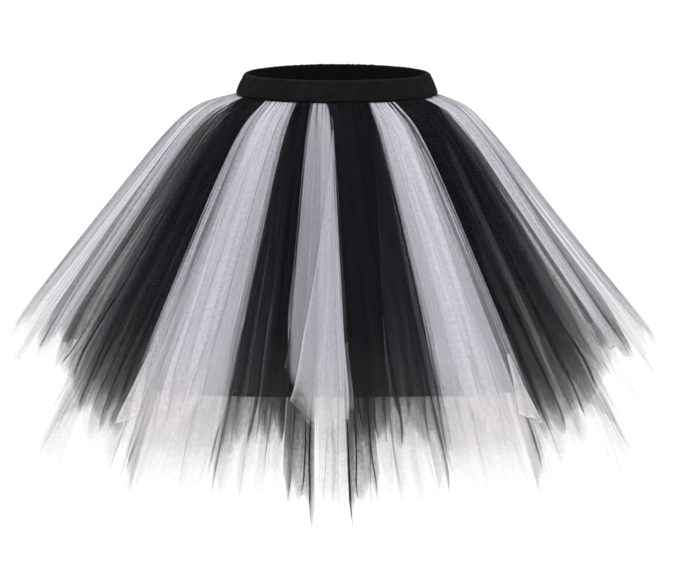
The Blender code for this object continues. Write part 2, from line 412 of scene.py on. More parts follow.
# %% [markdown]
# ## How a ply is described
# Each strip is a stack of plies of net. A ply need not start and end with its
# strip: where its edges and its hem lie is what gives the doubled bands, the
# crossing lines and the ragged points. Shares run across the strip from its
# outer edge, lengths are metres of cloth down from the band. Lift is how many
# millimetres the ply stands out from its layer, weight is how many thicknesses
# of net it counts for, and fade is the length over which its hem thins out. The
# last ply of most kinds is the palest net, which hangs below all the others. A
# fold is a place where the net is laid back over itself for a few millimetres,
# so there are three thicknesses of it, with a crease on each side.

# %% The plies of each kind of strip
# at: share of the ply's width; overlap: millimetres, + or - for the side it is laid to
# start, end: shares of the ply's length between which the fold lies
Fold = namedtuple("Fold", "at overlap start end", defaults=(0, 1))
# start: how far down the cloth a ply that is turned over lower down begins
Ply = namedtuple(
    "Ply", "layer top_left top_right hem_left hem_right lift weight fade hem folds start",
    defaults=((), 0.0))
PLIES = {}
PLIES["side"] = (
    Ply("tulle", 0.0, 1.12, -0.05, 0.86, 1.0, 0.5, 0.05,
        ((0, 0.432), (0.1, 0.405), (0.25, 0.425), (0.45, 0.395), (0.62, 0.418), (0.8, 0.385),
         (1, 0.390)), (Fold(0.34, -3, 0.2), Fold(0.56, 3, 0.2))),
    # a narrow, dense gather near the inner edge
    Ply("tulle", 0.58, 1.15, 0.73, 0.8, 3.0, 1.5, 0.02,
        ((0, 0.376), (0.5, 0.386), (1, 0.368)), (Fold(0.5, 4, 0.2),)),
    Ply("tulle", 0.1, 0.6, 0.12, 0.5, -2.5, 0.4, 0.05,
        ((0, 0.400), (0.3, 0.380), (0.6, 0.405), (1, 0.380))),
    Ply("under", 0.0, 1.0, -0.1, 1.1, -4.0, 0.7, 0.07,
        ((0, 0.470), (0.2, 0.445), (0.45, 0.482), (0.62, 0.455), (0.8, 0.484), (1, 0.470)),
        (Fold(0.3, 3, 0.3),)),
    Ply("under", 0.1, 0.95, 0.2, 1.12, -7.0, 0.8, 0.012,
        ((0, 0.440), (0.2, 0.478), (0.45, 0.500), (0.7, 0.506), (1, 0.520))),
)
PLIES["flank"] = (
    Ply("tulle", 0.18, 1.4, -0.3, 1.02, -0.5, 1.65, 0.045,
        ((0, 0.385), (0.1, 0.396), (0.22, 0.392), (0.34, 0.404), (0.46, 0.422), (0.56, 0.436),
         (0.64, 0.420), (0.74, 0.436), (0.82, 0.454), (0.88, 0.432), (0.95, 0.450), (1, 0.432)),
        (Fold(0.18, 3), Fold(0.36, -5), Fold(0.55, 4, 0.2), Fold(0.78, -3))),
    Ply("tulle", 0.28, 1.4, -0.1, 1.0, 1.2, 0.85, 0.06,
        ((0, 0.384), (0.16, 0.392), (0.38, 0.416), (0.5, 0.404), (0.65, 0.435), (0.78, 0.454),
         (0.85, 0.440), (1, 0.442)), (Fold(0.22, 4), Fold(0.5, 3, 0.3), Fold(0.86, -5))),
    # the dense inner half
    Ply("tulle", 0.6, 1.38, 0.62, 0.99, -2.6, 2.7, 0.05,
        ((0, 0.400), (0.3, 0.425), (0.6, 0.412), (1, 0.430)), (Fold(0.4, 4),)),
    Ply("tulle", 0.4, 0.8, 0.66, 0.22, 1.8, 0.7, 0.03,
        ((0, 0.410), (0.5, 0.395), (1, 0.380)), (Fold(0.4, 3, 0.2),)),
    Ply("under", 0.2, 1.25, -0.06, 1.02, -2.0, 0.75, 0.07,
        ((0, 0.435), (0.22, 0.405), (0.45, 0.452), (0.6, 0.420), (0.82, 0.474), (0.9, 0.440),
         (1, 0.480)), (Fold(0.3, 3, 0.2), Fold(0.82, 5, 0.2))),
    Ply("under", 0.84, 1.02, 0.95, 1.12, -5.0, 1.3, 0.04,
        ((0, 0.452), (0.5, 0.470), (1, 0.492)), (Fold(0.5, 4, 0.3),)),
    Ply("under", -0.4, 0.1, -0.9, -0.3, -1.0, 0.26, 0.08,
        ((0, 0.395), (0.3, 0.415), (0.6, 0.385), (1, 0.400)), (Fold(0.5, 4, 0.2),)),
    # a dark line that shows through the strip beside it
    Ply("tulle", -1.12, -0.88, -0.72, -0.48, -0.5, 1.45, 0.04,
        ((0, 0.378), (0.5, 0.394), (1, 0.382))),
    # pale net under the tips of the strip beside it
    Ply("tulle", -1.2, -0.2, -1.5, -0.25, -12.0, 0.15, 0.0,
        ((0, 0.410), (0.18, 0.432), (0.36, 0.420), (0.52, 0.446), (0.7, 0.428), (0.86, 0.444),
         (1, 0.420))),
    Ply("under", 0.2, 0.7, -0.36, 0.24, -3.0, 0.28, 0.0,
        ((0, 0.420), (0.22, 0.446), (0.6, 0.424), (1, 0.404))),
    Ply("under", 0.0, 1.0, -0.6, 1.15, -7.5, 0.16, 0.015,
        ((0, 0.470), (0.2, 0.494), (0.4, 0.486), (0.6, 0.506), (0.8, 0.490), (1, 0.500))),
)
PLIES["rear"] = (
    Ply("tulle", -0.02, 1.0, -0.06, 1.02, -0.5, 0.42, 0.05,
        ((0, 0.385), (0.1, 0.398), (0.2, 0.390), (0.34, 0.404), (0.46, 0.432), (0.56, 0.410),
         (0.68, 0.430), (0.8, 0.448), (0.88, 0.428), (0.95, 0.452), (1, 0.430)),
        (Fold(0.18, 3), Fold(0.36, -5), Fold(0.55, 4, 0.2), Fold(0.78, -3))),
    Ply("tulle", 0.5, 1.02, 0.6, 1.03, 1.2, 1.5, 0.03,
        ((0, 0.400), (0.3, 0.425), (0.6, 0.412), (1, 0.430)), (Fold(0.4, 4), Fold(0.8, 4))),
    Ply("tulle", -0.11, -0.07, -0.12, -0.08, 1.6, 0.8, 0.05,
        ((0, 0.400), (1, 0.395))),
    Ply("under", 0.2, 1.02, 0.3, 1.02, -5.0, 0.4, 0.05,
        ((0, 0.440), (0.22, 0.405), (0.45, 0.452), (0.6, 0.420), (0.82, 0.474), (0.9, 0.440),
         (1, 0.480)), (Fold(0.3, 3, 0.2), Fold(0.82, 5, 0.2))),
    Ply("under", 0.52, 1.04, 0.52, 1.06, -3.5, 1.3, 0.07,
        ((0, 0.436), (0.15, 0.462), (0.32, 0.440), (0.5, 0.476), (0.68, 0.450), (0.86, 0.492),
         (1, 0.466)), (Fold(0.35, 4, 0.2), Fold(0.75, 5, 0.2))),
)
PLIES["broad"] = (
    # the doubled outer edge
    Ply("tulle", 0.22, 0.33, -0.02, 0.055, 2.0, 0.95, 0.03,
        ((0, 0.420), (1, 0.470)), (Fold(0.5, 2),)),
    Ply("tulle", 0.24, 1.0, 0.0, 0.99, 1.0, 0.5, 0.05,
        ((0, 0.430), (0.07, 0.445), (0.2, 0.470), (0.34, 0.480), (0.62, 0.450), (0.86, 0.440),
         (1, 0.425)), (Fold(0.31, -4), Fold(0.93, 3, 0.1))),
    Ply("tulle", 0.34, 0.94, 0.12, 0.9, 2.5, 0.9, 0.04,
        ((0, 0.490), (0.15, 0.455), (0.45, 0.420), (0.75, 0.405), (1, 0.388)),
        (Fold(0.46, 4, 0, 0.95), Fold(0.8, 3, 0.2))),
    # the dense core, then a fold that crosses it
    Ply("tulle", 0.46, 0.84, 0.34, 0.74, 4.0, 2.1, 0.03,
        ((0, 0.430), (0.5, 0.445), (0.8, 0.420), (1, 0.388)), (Fold(0.12, 5), Fold(0.7, 4))),
    Ply("tulle", 0.7, 0.92, 0.12, 0.42, 4.2, 0.55, 0.03,
        ((0, 0.470), (0.5, 0.430), (1, 0.400)), (Fold(0.4, 3, 0.2),)),
    # the outer corner, turned over
    Ply("tulle", 0.08, 0.1, -0.06, 0.16, 5.5, 2.2, 0.0,
        ((0, 0.432), (0.5, 0.428), (1, 0.421)), start=0.345),
    Ply("under", 0.22, 1.0, 0.03, 0.99, -2.0, 0.8, 0.09,
        ((0, 0.478), (0.2, 0.490), (0.5, 0.494), (0.8, 0.480), (1, 0.512)),
        (Fold(0.2, 4, 0.1), Fold(0.62, -4))),
    Ply("under", 0.4, 0.9, 0.14, 0.86, -4.0, 1.3, 0.06,
        ((0, 0.488), (0.4, 0.478), (0.8, 0.492), (1, 0.470))),
    Ply("under", 0.5, 1.02, 0.7, 1.16, -6.0, 0.6, 0.05,
        ((0, 0.440), (0.5, 0.450), (1, 0.420)), (Fold(0.5, 4),)),
    Ply("under", 0.1, 1.0, -0.1, 1.5, -7.0, 0.6, 0.012,
        ((0, 0.500), (0.2, 0.520), (0.45, 0.512), (0.6, 0.528), (0.8, 0.516), (1, 0.526))),
)
PLIES["narrow"] = (
    Ply("tulle", -0.04, 1.34, -0.05, 1.02, -1.5, 1.6, 0.05,
        ((0, 0.448), (0.12, 0.430), (0.24, 0.442), (0.38, 0.426), (0.5, 0.446), (0.6, 0.424),
         (0.72, 0.436), (0.86, 0.424), (1, 0.436)),
        (Fold(0.17, 3), Fold(0.48, -6), Fold(0.8, 3, 0.3))),
    Ply("tulle", 0.6, 1.32, 0.54, 0.99, 0.0, 2.1, 0.04,
        ((0, 0.440), (0.12, 0.416), (0.35, 0.430), (0.6, 0.414), (0.8, 0.438), (1, 0.425)),
        (Fold(0.35, 3, 0.2), Fold(0.85, -4))),
    Ply("tulle", 0.0, 0.9, 0.04, 0.4, -0.8, 0.35, 0.05,
        ((0, 0.420), (0.5, 0.436), (1, 0.418)), (Fold(0.5, 3, 0.2),)),
    # the longest dark points, at both edges
    Ply("under", 0.78, 1.2, 0.7, 1.03, -1.0, 3.3, 0.06,
        ((0, 0.450), (0.15, 0.478), (0.3, 0.456), (0.5, 0.480), (0.7, 0.474), (0.84, 0.490),
         (0.94, 0.520), (1, 0.495)), (Fold(0.2, 4), Fold(0.6, -5), Fold(0.88, 6, 0.2))),
    Ply("under", 0.02, 0.3, -0.14, 0.08, -2.0, 0.9, 0.05,
        ((0, 0.466), (0.3, 0.440), (0.55, 0.486), (0.7, 0.455), (1, 0.482)),
        (Fold(0.2, 8, 0.2), Fold(0.65, 6, 0.2))),
    Ply("under", 0.1, 0.9, 0.06, 0.86, -4.5, 0.75, 0.07,
        ((0, 0.480), (0.14, 0.450), (0.25, 0.500), (0.35, 0.450), (0.5, 0.490), (0.6, 0.450),
         (0.7, 0.480), (0.82, 0.460), (0.92, 0.495), (1, 0.470)),
        (Fold(0.25, 3, 0.4), Fold(0.55, 4, 0.2), Fold(0.9, 3, 0.4))),
)
PLIES["centre"] = (
    # the ply that is laid over the rest as a V
    Ply("tulle", 0.82, 0.84, 0.07, 0.97, 4.0, 0.9, 0.02,
        ((0, 0.390), (0.2, 0.400), (0.28, 0.414), (0.4, 0.422), (0.62, 0.424), (1, 0.410)),
        (Fold(0.42, 3, 0.4), Fold(0.8, -4, 0.4, 0.98)), start=0.045),
    Ply("tulle", 0.13, 0.8, -0.07, 1.03, 1.0, 0.45, 0.02,
        ((0, 0.340), (0.12, 0.370), (0.5, 0.415), (0.8, 0.418), (1, 0.405)),
        (Fold(0.5, 3, 0.1),)),
    Ply("tulle", 0.2, 0.72, -0.03, 0.93, 2.4, 0.6, 0.02,
        ((0, 0.350), (0.2, 0.372), (0.5, 0.410), (1, 0.412)), (Fold(0.3, 3), Fold(0.7, 4))),
    Ply("under", 0.2, 0.78, 0.1, 0.96, -1.5, 0.9, 0.03,
        ((0, 0.498), (0.3, 0.486), (0.55, 0.496), (1, 0.502)),
        (Fold(0.3, 3, 0.3), Fold(0.68, -4, 0.2))),
    Ply("under", 0.2, 0.74, 0.18, 0.92, -5.0, 1.2, 0.04,
        ((0, 0.470), (0.5, 0.480), (1, 0.470)), (Fold(0.5, 5),)),
    Ply("under", 0.0, 1.0, -1.3, 2.3, -7.0, 0.6, 0.012,
        ((0, 0.508), (0.2, 0.528), (0.35, 0.516), (0.5, 0.529), (0.7, 0.518), (0.85, 0.528),
         (1, 0.512))),
)

print("plies of each kind:", {kind: len(plies) for kind, plies in PLIES.items()})
print("plies in all:", sum(len(PLIES[strip.kind]) for strip in STRIPS))

# %% [markdown]
# ## How a ply is shaped
# A ply is cut flat and wider than its room. Its waves and folds say how fast the
# net runs sideways at each point, and summing that gives where the point lies.
# Inside a fold the net runs backwards. Where much net shares little room it
# looks denser, so every point carries a number for that, the crowding.

# %% Random lines and fields
SEED = 20


def soft_step(value):
    value = np.clip(value, 0, 1)
    return value * value * (3 - 2 * value)


def uneven_phase(rng, waves, across, spread):
    """A phase that rises by one turn a wave, with no two waves as wide as each other."""
    widths = 1 + spread * rng.uniform(-1, 1, waves)
    marks = np.concatenate([[0], np.cumsum(widths)]) / widths.sum()
    return np.interp(across, marks, 2 * pi * np.arange(waves + 1)) + rng.uniform(0, 2 * pi)


def drifting(rng, across, down, waves, drift):
    """A wave across the ply that wanders as it goes down, from -1 to 1, and its phase."""
    phase = uneven_phase(rng, waves, across, 0.5)[None]
    phase = phase + drift * np.sin(3 * down[:, None] + 5 * across[None] + rng.uniform(0, 2 * pi))
    return np.sin(phase), phase


def patches(rng, across, down):
    """A slow cloudy field from 0 to 1, so that each fold comes and goes."""
    field = sum(
        np.sin(rng.uniform(4, 16) * across[None] + rng.uniform(1, 5) * down[:, None]
               + rng.uniform(0, 2 * pi))
        for _ in range(4))
    return np.clip(0.5 + field / 4, 0, 1)


def smooth_noise(rng, across, waves):
    """A soft random line from -1 to 1."""
    heights = rng.uniform(-1, 1, waves + 1)
    place = across * waves
    left = np.clip(place.astype(int), 0, waves - 1)
    share = soft_step(place - left)
    return heights[left] * (1 - share) + heights[left + 1] * share


def rounded_line(across, marks, heights):
    """A line through the marks that turns softly at each of them."""
    piece = np.clip(np.searchsorted(marks, across, side="right") - 1, 0, len(marks) - 2)
    share = (across - marks[piece]) / (marks[piece + 1] - marks[piece])
    share = 0.35 * share + 0.65 * soft_step(share)
    return heights[piece] * (1 - share) + heights[piece + 1] * share


print("random lines ready")

# %% Cutting a ply
COLUMN_STEP = 0.0019
FEWEST_COLUMNS, MOST_COLUMNS = 12, 100
ROWS = 52
SPREAD = 0.55                 # how far out a length of cloth reaches, roughly
ROOM_TO_SPARE = 1.02
FULLNESS = 1.18               # flat width over the widest room there is
BAND_TAPER = 0.70             # how much narrower a ply is cut at the band
HEM_WAVES = ((0.004, 4, 8), (0.0015, 8, 4))   # height, fewest waves, columns to a wave

# a strip's left edge and its width, in degrees round from the front, at band and hem
Room = namedtuple("Room", "waist hem waist_width hem_width")
# width: metres, laid flat; across, down: shares; length: of each column; cloth: of each point
Cut = namedtuple("Cut", "width across down length cloth middle_length")


def half_room(cloth):
    """Roughly how far from the skirt's middle a length of cloth hangs."""
    return WAIST_HALF_DEPTH + SPREAD * cloth


def cut_ply(room, ply, rng):
    """The ply laid flat, with its rows, its columns and its uneven hem."""
    marks = np.array([share for share, length in ply.hem])
    lengths = np.array([length for share, length in ply.hem])
    middle_length = lengths.mean()
    hem_room = radians(room.hem_width) * abs(ply.hem_right - ply.hem_left)
    hem_room = hem_room * half_room(middle_length) * ROOM_TO_SPARE
    width = hem_room * FULLNESS + sum(2 * abs(fold.overlap) / 1000 for fold in ply.folds)
    columns = int(np.clip(width / COLUMN_STEP, FEWEST_COLUMNS, MOST_COLUMNS))
    across = np.linspace(0, 1, columns)
    down = np.linspace(0, 1, ROWS)
    down = down - 0.5 * np.sin(2 * pi * down) / (2 * pi)
    length = rounded_line(across, marks, lengths)
    for height, fewest, columns_to_wave in HEM_WAVES:
        waves = max(fewest, columns // columns_to_wave)
        length = length + height * smooth_noise(rng, across, waves)
    cloth = ply.start + down[:, None] * (length[None] - ply.start)
    return Cut(width, across, down, length, cloth, middle_length)


print("way round at 0.45 m of cloth:", round(2 * pi * half_room(0.45), 2), "m")

# %% Waves, folds and puckers
BROAD_WAVE, BROAD_DEPTH = 0.034, 0.0022
FINE_WAVE, FINE_DEPTH = 0.014, 0.0005
WAVES_START = 0.15            # metres of cloth over which the waves grow from the band
TURN_SOFTNESS = 0.0011        # length of cloth a crease turns in
CREASE_WIDTH = 0.0015
CREASE_CROWDING = 0.11        # for each millimetre that a fold is laid over
FOLD_DEPTH = 0.0011
FOLD_START = 0.05             # metres of cloth over which a fold grows to its depth
FOLD_MARGIN = 0.006           # least room between a fold and the ply's long edge
FOLD_SLACK = 0.010            # how far beside a fold the cloth settles back
HEM_SWAY = 0.004              # how far the loose hem curls to and fro
PUCKER_PITCH = 0.0052         # between puckers under the band
PUCKER_DEPTH = 0.0011
PUCKER_SEED = 5


def wave_ply(cut, rng):
    """Broad and fine waves: how fast the net runs sideways, how far out it is, its crowding."""
    broad_count = max(2, round(cut.width / BROAD_WAVE))
    fine_count = max(4, round(cut.width / FINE_WAVE))
    broad, broad_phase = drifting(rng, cut.across, cut.down, broad_count, 0.5)
    fine, fine_phase = drifting(rng, cut.across, cut.down, fine_count, 0.9)
    present = patches(rng, cut.across, cut.down)
    rate = 1 + 0.20 * np.cos(2 * broad_phase) * present
    rate = rate + 0.06 * np.cos(2 * fine_phase) * (1 - 0.6 * present)
    depth = BROAD_DEPTH * broad + FINE_DEPTH * fine * (1 - 0.5 * present)
    depth = depth * soft_step(cut.cloth.mean(axis=1) / WAVES_START)[:, None]
    return rate, depth, 1 / np.clip(rate, 0.4, 2)


def lay_fold(fold, cut, rate, depth, crowding, rng):
    """The net runs backwards inside a fold, so three thicknesses lie between two creases."""
    down = cut.down
    rise = soft_step((down - fold.start + 0.12) / 0.22)
    rise = (rise * soft_step((fold.end - down + 0.1) / 0.15))[:, None]
    laid = abs(fold.overlap) / 2000
    half = laid * (0.55 + 0.45 * down[:, None]) * np.maximum(rise, 0.02)
    wander = 0.004 * np.sin(4 * down + rng.uniform(0, 6))[:, None]
    wander = wander + 0.003 * (np.sin(17 * down + rng.uniform(0, 6)) * down ** 4)[:, None]
    inward = laid + FOLD_MARGIN
    middle = np.clip(fold.at * cut.width, inward, cut.width - inward)
    wander = wander * min(1, 4 * inward / cut.width + 0.3)
    place = cut.across[None] * cut.width - middle + wander
    beside = np.abs(place) - half
    inside = 1 / (1 + np.exp(np.clip(beside / (TURN_SOFTNESS / 2), -30, 30)))
    rate = rate - 2 * inside * rise
    side = 1 if fold.overlap > 0 else -1
    lean = np.clip(-place / np.maximum(half, 0.0004), -1, 1)
    lean = lean * np.exp(-np.maximum(0, beside) / FOLD_SLACK)
    grown = soft_step(cut.cloth.mean(axis=1) / FOLD_START)[:, None]
    depth = depth + side * FOLD_DEPTH * lean * rise * grown
    for turn in (-1, 1):
        crease = np.exp(-((place - turn * half) / CREASE_WIDTH) ** 2)
        crowding = crowding + CREASE_CROWDING * abs(fold.overlap) * rise * crease
    return rate, depth, crowding


def curl_hem(cut, sideways, depth, rng):
    """The loose end of the net curls to and fro."""
    across, down = cut.across[None], cut.down[:, None]
    curl = np.sin(16 * down + cut.width * 90 * across + rng.uniform(0, 2 * pi))
    sway = min(HEM_SWAY, 0.04 * cut.width)
    loose = down ** 6
    sideways = sideways + sway / cut.width * loose * curl
    depth = depth + sway * loose * np.sin(11 * down + cut.width * 60 * across)
    return sideways, depth


def pucker_top(room, ply, cut, sideways, depth, crowding):
    """Fine upright puckers where the net is gathered into the band."""
    share = ply.top_left + (ply.top_right - ply.top_left) * sideways
    waves = round(radians(room.waist_width) * WAIST_HALF_WIDTH / PUCKER_PITCH)
    rng = np.random.default_rng([SEED, PUCKER_SEED, abs(round(room.waist))])
    puckers = np.cos(uneven_phase(rng, waves, np.clip(share, 0, 1), 0.5))
    rise = np.exp(-cut.cloth / 0.030) * soft_step(cut.cloth / 0.006)
    depth = depth + PUCKER_DEPTH * puckers * rise
    gap = np.clip(-puckers, 0, 1) ** 3
    near = np.exp(-(cut.cloth / 0.040) ** 1.5)
    return depth, crowding * (1 + (0.35 * puckers - 0.75 * gap) * near)


print("folds ready")

# %% Hem and edges of a ply
TATTER = 0.020                # how unevenly the hem starts to thin
THIN_LENGTH = 0.02            # the least length of cloth over which it thins
WORN_LENGTH, WORN_SHARE = 0.014, 0.65
EDGE_WIDTH = 0.007            # a ply lies looser and thinner near its long edges
BORDER_WIDTH = 0.0018
BORDER = {"white": 1.5, "black": 0.6}   # how much a cut edge thickens the net


def finish_edges(border, ply, cut, crowding, rng):
    """The net thins out towards its hem and its long edges, and its cut edges show as lines."""
    narrow = half_room(cut.cloth.mean(axis=1)) / half_room(cut.middle_length)
    crowding = crowding * (narrow ** -0.45)[:, None]
    tattered = TATTER * (patches(rng, 3 * cut.across, 9 * cut.down) - 0.5)
    tatters = smooth_noise(rng, cut.across, max(3, len(cut.across) // 8))
    tattered = tattered + 0.25 * ply.fade * tatters[None]
    length = cut.length[None]
    thinning = cut.cloth + tattered - (length - ply.fade - THIN_LENGTH)
    thinning = soft_step(thinning / (ply.fade + THIN_LENGTH))
    worn = soft_step((cut.cloth - (length - WORN_LENGTH)) / WORN_LENGTH) * min(1, ply.fade / 0.02)
    crowding = crowding * (1 - min(0.95, 10 * ply.fade) * thinning)
    crowding = crowding * (1 - WORN_SHARE * worn)
    turned = ply.start > 0        # a ply turned over lower down has creases for edges
    for from_edge in (cut.across * cut.width, (1 - cut.across) * cut.width):
        if turned:
            bright, loose_edge = 0.9, 0
        else:
            bright = patches(rng, cut.across, 4 * cut.down) * (1 - 0.5 * thinning)
            loose_edge = rng.uniform(0.2, 0.7)
        crowding = crowding * (1 - loose_edge * (1 - soft_step(from_edge / EDGE_WIDTH))[None])
        line = np.exp(-(from_edge / BORDER_WIDTH) ** 2)[None]
        crowding = crowding + border * bright * line
    if ply.fade == 0:
        crowding = crowding + border * np.exp(-((length - cut.cloth) / BORDER_WIDTH) ** 2)
    return crowding * ply.weight


print("edges ready")

# %% Placing a ply
LIFT_LENGTH = 0.05            # metres of cloth in which a ply reaches its lift

Sheet = namedtuple("Sheet", "points flat crowding width length area")


def place_ply(layer, room, ply, mirrored, cut, sideways, depth):
    """The ply's points, which go from its edges at the band to its edges at the hem."""
    edges = (ply.top_left, ply.top_right, ply.hem_left, ply.hem_right)
    if mirrored:
        edges = tuple(1 - share for share in edges)
    top = edges[0] + (edges[1] - edges[0]) * sideways
    hem = edges[2] + (edges[3] - edges[2]) * sideways
    top = top + (hem - top) * cut.down[:, None]
    if ply.start:
        hem = top
    push = depth + ply.lift / 1000 * soft_step(cut.cloth / LIFT_LENGTH)
    waist = np.radians(room.waist + room.waist_width * top)
    bearing = np.radians(room.hem + room.hem_width * hem)
    return layer_points(layer, waist, bearing, cut.cloth, push)


def make_ply(layer, strip, room, ply, rng):
    """One ply with its points, flat positions and crowding as rows from the band to the hem."""
    cut = cut_ply(room, ply, rng)
    rate, depth, crowding = wave_ply(cut, rng)
    for fold in ply.folds:
        rate, depth, crowding = lay_fold(fold, cut, rate, depth, crowding, rng)
    sideways = np.cumsum(rate, axis=1)
    sideways = (sideways - sideways[:, :1]) / (sideways[:, -1:] - sideways[:, :1])
    sideways, depth = curl_hem(cut, sideways, depth, rng)
    if ply.start == 0:
        depth, crowding = pucker_top(room, ply, cut, sideways, depth, crowding)
    crowding = finish_edges(BORDER[strip.colour], ply, cut, crowding, rng)
    points = place_ply(layer, room, ply, strip.mirrored, cut, sideways, depth)
    taper = 1 - BAND_TAPER * (1 - cut.down[:, None])
    flat_across = (cut.across[None] - 0.5) * cut.width * taper + rng.uniform(1, 5)
    flat = np.stack([flat_across, cut.cloth], axis=-1)
    if strip.mirrored:
        points, flat, crowding = points[:, ::-1], flat[:, ::-1], crowding[:, ::-1]
    area = cut.width * (1 - BAND_TAPER / 2) * float(cut.length.mean() - ply.start)
    return Sheet(points, flat, crowding, cut.width, float(cut.length.max() - ply.start), area)


print("ready to shape plies")

# %% From grids to a mesh
def add_grids(name, grids, material, closed=False):
    """One object from grids of points, each with flat positions and crowding."""
    points, flats, crowdings, faces = [], [], [], []
    start = 0
    for grid, flat, crowding in grids:
        rows, columns = grid.shape[:2]
        index = np.arange(rows * columns).reshape(rows, columns) + start
        right = np.roll(index, -1, axis=1) if closed else index[:, 1:]
        left = index if closed else index[:, :-1]
        corners = (left[:-1], left[1:], right[1:], right[:-1])
        faces.append(np.stack(corners, axis=-1).reshape(-1, 4))
        points.append(grid.reshape(-1, 3))
        flats.append(flat.reshape(-1, 2))
        crowdings.append(crowding.ravel())
        start += rows * columns
    points, flats = np.concatenate(points), np.concatenate(flats)
    faces, crowdings = np.concatenate(faces), np.concatenate(crowdings)
    mesh = bpy.data.meshes.new(name)
    mesh.from_pydata(points.tolist(), [], faces.tolist())
    uv = mesh.uv_layers.new(name="flat")
    uv.data.foreach_set("uv", flats[faces.ravel()].ravel().astype(np.float32))
    store = mesh.attributes.new("crowding", "FLOAT", "POINT")
    store.data.foreach_set("value", crowdings.astype(np.float32))
    mesh.shade_smooth()
    mesh.materials.append(material)
    piece = bpy.data.objects.new(name, mesh)
    bpy.context.collection.objects.link(piece)
    return piece


def add_tube(name, rings, girth, material):
    """A tube through rings of points, and how far along the cloth each ring is."""
    rings = np.array(rings)
    steps = np.linalg.norm(np.diff(rings, axis=0), axis=2).mean(axis=1)
    along = np.concatenate([[0], np.cumsum(steps)])
    turn = np.linspace(0, 2 * pi, rings.shape[1], endpoint=False)[None] / (2 * pi)
    flat = np.stack(np.broadcast_arrays(turn * girth, along[:, None]), axis=-1)
    tube = add_grids(name, [(rings, flat, np.ones(rings.shape[:2]))], material, closed=True)
    return tube, along


print("ready to make sheets")

# %% Hang all the strips
net_pieces = []
for layer_number, layer in enumerate(LAYERS):
    first_waist, first_hem = layer.edges[0]
    edges = [*layer.edges, (first_waist + 360, first_hem + 360)]
    for number, strip in enumerate(STRIPS):
        (waist, hem), (next_waist, next_hem) = edges[number:number + 2]
        room = Room(waist, hem, next_waist - waist, next_hem - hem)
        plies = [ply for ply in PLIES[strip.kind] if ply.layer == layer.name]
        rng = np.random.default_rng([SEED, layer_number, number])
        sheets = [make_ply(layer, strip, room, ply, rng) for ply in plies]
        grids = [(sheet.points, sheet.flat, sheet.crowding) for sheet in sheets]
        piece = add_grids(f"net_{layer.name}_{strip.place}", grids, NET_MATERIALS[strip.colour])
        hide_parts(f"{layer.name}_{strip.place}")
        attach(piece, ROOT)
        net_pieces.append(piece)
triangles = sum(2 * len(piece.data.polygons) for piece in net_pieces)
print("net pieces:", len(net_pieces), "triangles:", triangles)

# %% [markdown]
# ## Lining
# The slip is a smooth, close-woven cloth that hides all light. It hangs as a
# plain tube with the softest of flutes, and its hem is turned up once inside.

# %% Lining cloth
WEAVE_WOBBLE = 0.4
CLOTH_CLOUDS = (40.0, 40.0, 1.0)   # soft blotches in a metre of cloth
CLOTH_SPECULAR = 0.08
BUMP_STRENGTH = 0.4


def make_woven_group():
    """Threads that cross as a height, and a cloudy shade."""
    group, given, result = add_group(
        "woven cloth",
        [("Threads", "NodeSocketFloat", 1800.0), ("Mottle", "NodeSocketFloat", 0.2)],
        [("Height", "NodeSocketFloat"), ("Shade", "NodeSocketFloat")])
    flat = group.nodes.new("ShaderNodeUVMap").outputs[0]
    waves = []
    for direction in ("X", "Y"):
        wave = group.nodes.new("ShaderNodeTexWave")
        wave.bands_direction = direction
        wave.inputs["Distortion"].default_value = WEAVE_WOBBLE
        group.links.new(flat, wave.inputs["Vector"])
        group.links.new(given.outputs["Threads"], wave.inputs["Scale"])
        waves.append(wave.outputs["Fac"])
    group.links.new(math_node(group, "MULTIPLY", waves[0], waves[1]), result.inputs["Height"])
    cloudy = noise_node(group, flat, CLOTH_CLOUDS, 1.0, 3.0)
    change = range_node(group, cloudy, NOISE_LOW, NOISE_HIGH, -1.0, 1.0)
    shade = math_node(group, "MULTIPLY", change, given.outputs["Mottle"])
    group.links.new(math_node(group, "ADD", shade, 1.0), result.inputs["Shade"])
    return group


WOVEN_GROUP = make_woven_group()

# threads: how close the weave is; bump: how high it stands, in metres
Cloth = namedtuple("Cloth", "name colour roughness threads bump sheen mottle")
CLOTHS = (
    Cloth("lining_cloth", (0.007, 0.007, 0.008, 1), 0.55, 420.0, 0.00015, 0.0, 0.15),
    Cloth("casing_cloth", (0.0045, 0.0045, 0.005, 1), 0.85, 260.0, 0.0003, 0.01, 0.30),
)


def make_cloth(cloth):
    """Close-woven cloth that hides all light."""
    material = bpy.data.materials.new(cloth.name)
    material.use_nodes = True
    tree = material.node_tree
    shader = tree.nodes["Principled BSDF"]
    shader.inputs["Roughness"].default_value = cloth.roughness
    shader.inputs["Sheen Weight"].default_value = cloth.sheen
    shader.inputs["Specular IOR Level"].default_value = CLOTH_SPECULAR
    effect = tree.nodes.new("ShaderNodeGroup")
    effect.node_tree = WOVEN_GROUP
    effect.inputs["Threads"].default_value = cloth.threads
    effect.inputs["Mottle"].default_value = cloth.mottle
    tint = tree.nodes.new("ShaderNodeMix")
    tint.data_type = "RGBA"
    tint.blend_type = "MULTIPLY"
    tint.inputs["Factor"].default_value = 1.0
    tint.inputs["A"].default_value = cloth.colour
    tree.links.new(effect.outputs["Shade"], tint.inputs["B"])
    tree.links.new(tint.outputs["Result"], shader.inputs["Base Color"])
    bump = tree.nodes.new("ShaderNodeBump")
    bump.inputs["Strength"].default_value = BUMP_STRENGTH
    bump.inputs["Distance"].default_value = cloth.bump
    tree.links.new(effect.outputs["Height"], bump.inputs["Height"])
    tree.links.new(bump.outputs[0], shader.inputs["Normal"])
    return material


LINING_CLOTH, CASING_CLOTH = [make_cloth(cloth) for cloth in CLOTHS]
print("woven cloths made")

